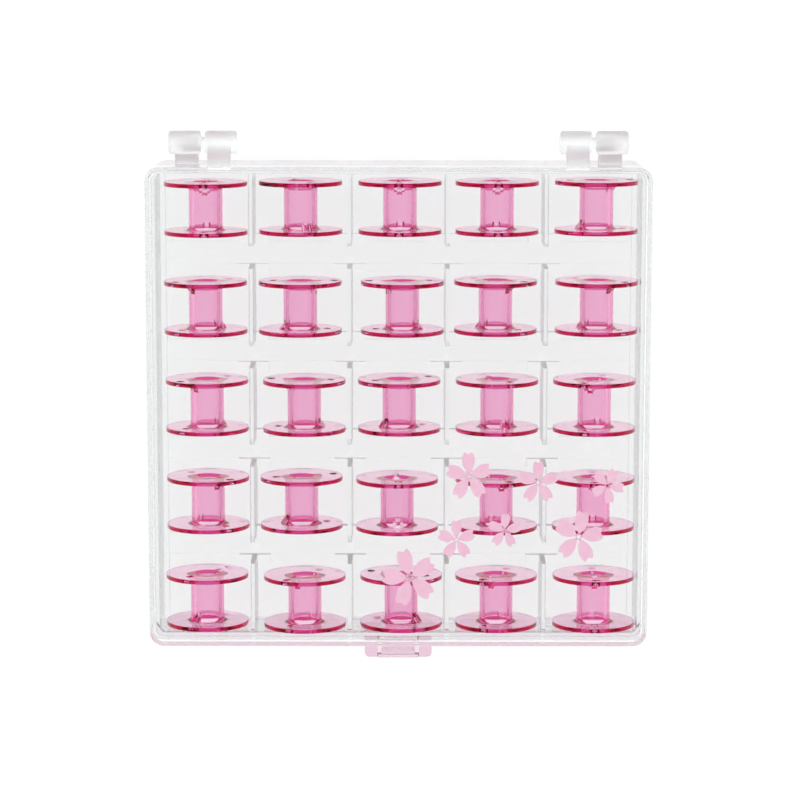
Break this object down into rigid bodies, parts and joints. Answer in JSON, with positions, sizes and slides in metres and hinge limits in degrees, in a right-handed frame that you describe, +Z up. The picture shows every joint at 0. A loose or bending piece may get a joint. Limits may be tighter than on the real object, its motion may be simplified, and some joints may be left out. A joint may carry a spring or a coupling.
{
  "type": "bobbin storage box",
  "caption": "Flat clear hinged box with divided rows and open lanes, holding transparent pink sewing bobbins on edge under a snap lid with a blossom print.",
  "frame": {"origin": "middle of the base's flat underside", "axes": "+Z up through the lid, +Y towards the hinges, +X across the columns to the right when seen from the latch side"},
  "size_m": [0.1218, 0.1314, 0.025],
  "materials": {
    "clear_plastic": "clear polished polystyrene",
    "pink_plastic": "transparent pink polished plastic"
  },
  "bodies": {
    "base": {"base_tray": "clear_plastic"},
    "lid": {"lid": "clear_plastic"},
    "bobbin_r1_c1": {"bobbin_r1_c1": "pink_plastic"},
    "bobbin_r1_c2": {"bobbin_r1_c2": "pink_plastic"},
    "bobbin_r1_c3": {"bobbin_r1_c3": "pink_plastic"},
    "bobbin_r1_c4": {"bobbin_r1_c4": "pink_plastic"},
    "bobbin_r1_c5": {"bobbin_r1_c5": "pink_plastic"},
    "bobbin_r2_c1": {"bobbin_r2_c1": "pink_plastic"},
    "bobbin_r2_c2": {"bobbin_r2_c2": "pink_plastic"},
    "bobbin_r2_c3": {"bobbin_r2_c3": "pink_plastic"},
    "bobbin_r2_c4": {"bobbin_r2_c4": "pink_plastic"},
    "bobbin_r2_c5": {"bobbin_r2_c5": "pink_plastic"},
    "bobbin_r3_c1": {"bobbin_r3_c1": "pink_plastic"},
    "bobbin_r3_c2": {"bobbin_r3_c2": "pink_plastic"},
    "bobbin_r3_c3": {"bobbin_r3_c3": "pink_plastic"},
    "bobbin_r3_c4": {"bobbin_r3_c4": "pink_plastic"},
    "bobbin_r3_c5": {"bobbin_r3_c5": "pink_plastic"},
    "bobbin_r4_c1": {"bobbin_r4_c1": "pink_plastic"},
    "bobbin_r4_c2": {"bobbin_r4_c2": "pink_plastic"},
    "bobbin_r4_c3": {"bobbin_r4_c3": "pink_plastic"},
    "bobbin_r4_c4": {"bobbin_r4_c4": "pink_plastic"},
    "bobbin_r4_c5": {"bobbin_r4_c5": "pink_plastic"},
    "bobbin_r5_c1": {"bobbin_r5_c1": "pink_plastic"},
    "bobbin_r5_c2": {"bobbin_r5_c2": "pink_plastic"},
    "bobbin_r5_c3": {"bobbin_r5_c3": "pink_plastic"},
    "bobbin_r5_c4": {"bobbin_r5_c4": "pink_plastic"},
    "bobbin_r5_c5": {"bobbin_r5_c5": "pink_plastic"}
  },
  "joints": [
    {"name": "lid_hinge", "type": "hinge", "parent": "base", "child": "lid", "pos_m": [0, 0.064, 0.015], "axis": [-1, 0, 0], "range_deg": [0, 180]},
    {"name": "bobbin_r1_c1_spin", "type": "hinge", "parent": "base", "child": "bobbin_r1_c1", "pos_m": [-0.047, 0.04795, 0.01195], "axis": [0, 1, 0], "continuous": true},
    {"name": "bobbin_r1_c2_spin", "type": "hinge", "parent": "base", "child": "bobbin_r1_c2", "pos_m": [-0.02385, 0.0482, 0.01195], "axis": [0, 1, 0], "continuous": true},
    {"name": "bobbin_r1_c3_spin", "type": "hinge", "parent": "base", "child": "bobbin_r1_c3", "pos_m": [0.00035, 0.0482, 0.01195], "axis": [0, 1, 0], "continuous": true},
    {"name": "bobbin_r1_c4_spin", "type": "hinge", "parent": "base", "child": "bobbin_r1_c4", "pos_m": [0.024, 0.0482, 0.01195], "axis": [0, 1, 0], "continuous": true},
    {"name": "bobbin_r1_c5_spin", "type": "hinge", "parent": "base", "child": "bobbin_r1_c5", "pos_m": [0.0482, 0.0484, 0.01195], "axis": [0, 1, 0], "continuous": true},
    {"name": "bobbin_r2_c1_spin", "type": "hinge", "parent": "base", "child": "bobbin_r2_c1", "pos_m": [-0.0472, 0.02375, 0.01195], "axis": [0, 1, 0], "continuous": true},
    {"name": "bobbin_r2_c2_spin", "type": "hinge", "parent": "base", "child": "bobbin_r2_c2", "pos_m": [-0.02405, 0.02375, 0.01195], "axis": [0, 1, 0], "continuous": true},
    {"name": "bobbin_r2_c3_spin", "type": "hinge", "parent": "base", "child": "bobbin_r2_c3", "pos_m": [0.00095, 0.02375, 0.01195], "axis": [0, 1, 0], "continuous": true},
    {"name": "bobbin_r2_c4_spin", "type": "hinge", "parent": "base", "child": "bobbin_r2_c4", "pos_m": [0.02375, 0.02395, 0.01195], "axis": [0, 1, 0], "continuous": true},
    {"name": "bobbin_r2_c5_spin", "type": "hinge", "parent": "base", "child": "bobbin_r2_c5", "pos_m": [0.0485, 0.02395, 0.01195], "axis": [0, 1, 0], "continuous": true},
    {"name": "bobbin_r3_c1_spin", "type": "hinge", "parent": "base", "child": "bobbin_r3_c1", "pos_m": [-0.04705, -0.0005, 0.01195], "axis": [0, 1, 0], "continuous": true},
    {"name": "bobbin_r3_c2_spin", "type": "hinge", "parent": "base", "child": "bobbin_r3_c2", "pos_m": [-0.02315, -0.0006, 0.01195], "axis": [0, 1, 0], "continuous": true},
    {"name": "bobbin_r3_c3_spin", "type": "hinge", "parent": "base", "child": "bobbin_r3_c3", "pos_m": [0.0002, -0.0005, 0.01195], "axis": [0, 1, 0], "continuous": true},
    {"name": "bobbin_r3_c4_spin", "type": "hinge", "parent": "base", "child": "bobbin_r3_c4", "pos_m": [0.02425, -0.0005, 0.01195], "axis": [0, 1, 0], "continuous": true},
    {"name": "bobbin_r3_c5_spin", "type": "hinge", "parent": "base", "child": "bobbin_r3_c5", "pos_m": [0.0482, -0.0005, 0.01195], "axis": [0, 1, 0], "continuous": true},
    {"name": "bobbin_r4_c1_spin", "type": "hinge", "parent": "base", "child": "bobbin_r4_c1", "pos_m": [-0.047, -0.0247, 0.01195], "axis": [0, 1, 0], "continuous": true},
    {"name": "bobbin_r4_c2_spin", "type": "hinge", "parent": "base", "child": "bobbin_r4_c2", "pos_m": [-0.0239, -0.0247, 0.01195], "axis": [0, 1, 0], "continuous": true},
    {"name": "bobbin_r4_c3_spin", "type": "hinge", "parent": "base", "child": "bobbin_r4_c3", "pos_m": [-0.0003, -0.02515, 0.01195], "axis": [0, 1, 0], "continuous": true},
    {"name": "bobbin_r4_c4_spin", "type": "hinge", "parent": "base", "child": "bobbin_r4_c4", "pos_m": [0.0242, -0.02495, 0.01195], "axis": [0, 1, 0], "continuous": true},
    {"name": "bobbin_r4_c5_spin", "type": "hinge", "parent": "base", "child": "bobbin_r4_c5", "pos_m": [0.0482, -0.02495, 0.01195], "axis": [0, 1, 0], "continuous": true},
    {"name": "bobbin_r5_c1_spin", "type": "hinge", "parent": "base", "child": "bobbin_r5_c1", "pos_m": [-0.0474, -0.04915, 0.01195], "axis": [0, 1, 0], "continuous": true},
    {"name": "bobbin_r5_c2_spin", "type": "hinge", "parent": "base", "child": "bobbin_r5_c2", "pos_m": [-0.0232, -0.0496, 0.01195], "axis": [0, 1, 0], "continuous": true},
    {"name": "bobbin_r5_c3_spin", "type": "hinge", "parent": "base", "child": "bobbin_r5_c3", "pos_m": [0.0007, -0.0494, 0.01195], "axis": [0, 1, 0], "continuous": true},
    {"name": "bobbin_r5_c4_spin", "type": "hinge", "parent": "base", "child": "bobbin_r5_c4", "pos_m": [0.0243, -0.0494, 0.01195], "axis": [0, 1, 0], "continuous": true},
    {"name": "bobbin_r5_c5_spin", "type": "hinge", "parent": "base", "child": "bobbin_r5_c5", "pos_m": [0.0485, -0.0494, 0.01195], "axis": [0, 1, 0], "continuous": true}
  ]
}
